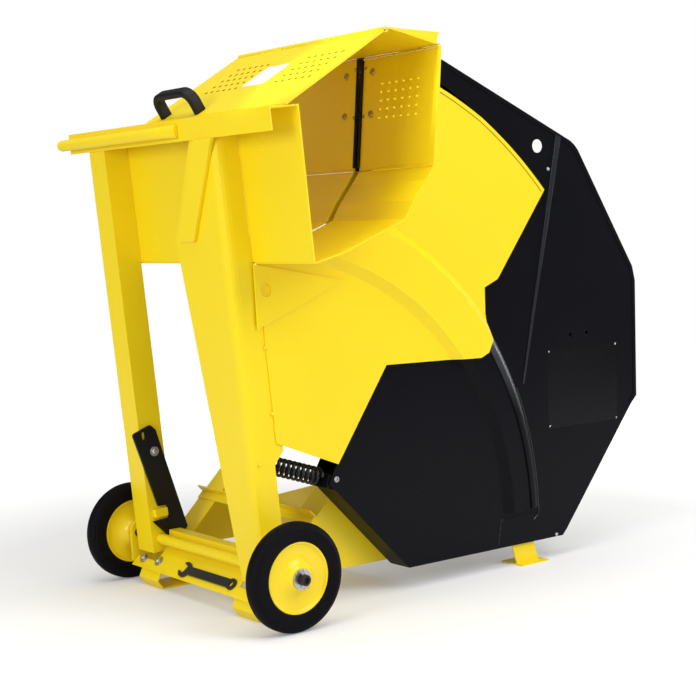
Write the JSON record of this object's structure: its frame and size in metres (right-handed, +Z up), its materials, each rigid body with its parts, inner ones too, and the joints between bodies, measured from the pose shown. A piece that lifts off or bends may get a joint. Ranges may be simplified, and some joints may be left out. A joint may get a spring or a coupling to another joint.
{
  "type": "firewood circular saw",
  "caption": "Wheeled firewood circular saw: a tilting log cradle with a hood swings on a base frame towards a large enclosed blade.",
  "frame": {"origin": "on the ground, under the centre of the bounding box", "axes": "+X to the operator's right, along the wheel axle line; +Y away from the operator, from the cradle to the blade casing; +Z up"},
  "size_m": [0.732, 1.1384, 1.069],
  "materials": {
    "yellow_paint": "satin powder coat",
    "black_paint": "satin powder coat",
    "tyre_rubber": "matt",
    "zinc": "zinc plated",
    "blade_steel": "ground",
    "spring_steel": "black, semi gloss",
    "motor_paint": "grey enamel",
    "black_plastic": "fine grained",
    "green_plastic": "smooth",
    "red_plastic": "smooth"
  },
  "bodies": {
    "frame": {"cross_plate": "yellow_paint", "side_plate_left": "yellow_paint", "side_plate_right": "yellow_paint", "support_plate": "yellow_paint", "cross_angle": "yellow_paint", "front_foot_left": "yellow_paint", "front_foot_right": "yellow_paint", "rear_foot": "yellow_paint", "axle_bracket_left": "yellow_paint", "axle_bracket_right": "yellow_paint", "stub_axle_left": "zinc", "stub_axle_right": "zinc", "axle_washer_left": "zinc", "axle_washer_right": "zinc", "split_pin_left": "zinc", "split_pin_right": "zinc", "casing_near_front": "black_paint", "casing_near_rear": "black_paint", "casing_far": "black_paint", "casing_top": "black_paint", "casing_back": "black_paint", "casing_bottom": "black_paint", "spring_anchor": "black_paint", "return_spring": "spring_steel", "motor_flange": "motor_paint", "motor_body": "motor_paint", "fan_cowl": "motor_paint", "switch_box": "black_plastic", "wrench": "zinc"},
    "cradle": {"left_leg": "yellow_paint", "guard_leg": "yellow_paint", "pivot_tube": "yellow_paint", "front_panel": "yellow_paint", "trough_floor_left": "yellow_paint", "trough_floor_right": "yellow_paint", "back_wall": "yellow_paint", "slot_liner": "black_plastic", "hood_rear": "yellow_paint", "hinge_pin": "zinc", "push_handle": "yellow_paint", "beam_strut": "yellow_paint", "gusset": "yellow_paint", "near_guard": "yellow_paint", "far_guard": "yellow_paint", "latch_bolt": "zinc"},
    "lid": {"hood_lid": "yellow_paint", "lid_handle": "black_plastic"},
    "latch": {"latch_hook": "black_paint"},
    "blade": {"saw_blade": "blade_steel", "blade_shaft": "zinc", "inner_flange": "zinc", "outer_flange": "zinc", "arbor_nut": "zinc"},
    "wheel_right": {"tyre_right": "tyre_rubber", "rim_right": "yellow_paint"},
    "wheel_left": {"tyre_left": "tyre_rubber", "rim_left": "yellow_paint"},
    "start": {"start_button": "green_plastic"},
    "stop": {"stop_button": "red_plastic"}
  },
  "joints": [
    {"name": "cradle_swing", "type": "hinge", "parent": "frame", "child": "cradle", "pos_m": [-0.044, -0.44392, 0.095], "axis": [-1, 0, 0], "range_deg": [0, 22.5], "stiffness_Nm_per_rad": 200, "springref_deg": -51.57, "deforming": ["return_spring"]},
    {"name": "hood_lid_hinge", "type": "hinge", "parent": "cradle", "child": "lid", "pos_m": [0.1375, -0.29608, 1.06363], "axis": [1, 0, 0], "range_deg": [-85, 0]},
    {"name": "latch_swing", "type": "hinge", "parent": "cradle", "child": "latch", "pos_m": [-0.2112, -0.45648, 0.27764], "axis": [1, 0, 0], "range_deg": [0, 25]},
    {"name": "blade_spin", "type": "hinge", "parent": "frame", "child": "blade", "pos_m": [0.143, 0.07516, 0.46937], "axis": [1, 0, 0], "continuous": true},
    {"name": "wheel_right_spin", "type": "hinge", "parent": "frame", "child": "wheel_right", "pos_m": [0.266, -0.45592, 0.1], "axis": [1, 0, 0], "continuous": true},
    {"name": "wheel_left_spin", "type": "hinge", "parent": "frame", "child": "wheel_left", "pos_m": [-0.317, -0.45592, 0.1], "axis": [1, 0, 0], "continuous": true},
    {"name": "start_press", "type": "slide", "parent": "frame", "child": "start", "axis": [0, -1, 0], "range_m": [0, 0.004], "stiffness_N_per_m": 400},
    {"name": "stop_press", "type": "slide", "parent": "frame", "child": "stop", "axis": [0, -1, 0], "range_m": [0, 0.004], "stiffness_N_per_m": 400}
  ]
}
